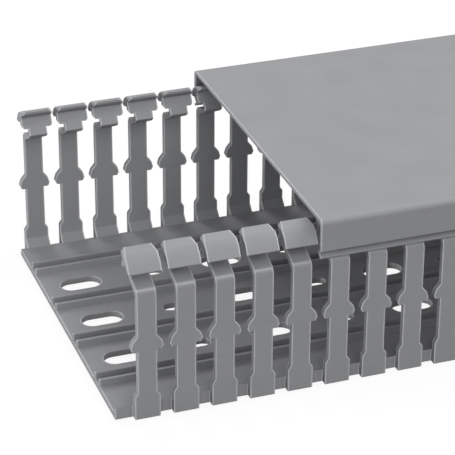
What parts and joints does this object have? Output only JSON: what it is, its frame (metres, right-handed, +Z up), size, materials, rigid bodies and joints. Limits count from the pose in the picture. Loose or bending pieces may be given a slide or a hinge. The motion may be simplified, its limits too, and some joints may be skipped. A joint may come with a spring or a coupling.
{
  "type": "slotted wire duct",
  "caption": "Open slotted wiring duct with hooked fingers along both walls, a ribbed and slotted floor, and a clip-on cover that slides along the fingers.",
  "frame": {"origin": "on the underside of the channel, midway along it and midway across it", "axes": "+X along the duct towards the end where the cover overhangs, +Y across it, +Z up out of the open top"},
  "size_m": [0.5655, 0.1192, 0.0589],
  "materials": {
    "channel_pvc": "satin grey rigid PVC",
    "cover_pvc": "satin grey rigid PVC"
  },
  "bodies": {
    "channel": {"duct_channel": "channel_pvc"},
    "lid": {"cover": "cover_pvc"}
  },
  "joints": [
    {"name": "cover_slide", "type": "slide", "parent": "channel", "child": "lid", "axis": [1, 0, 0], "range_m": [-0.0655, 0.1845]}
  ]
}
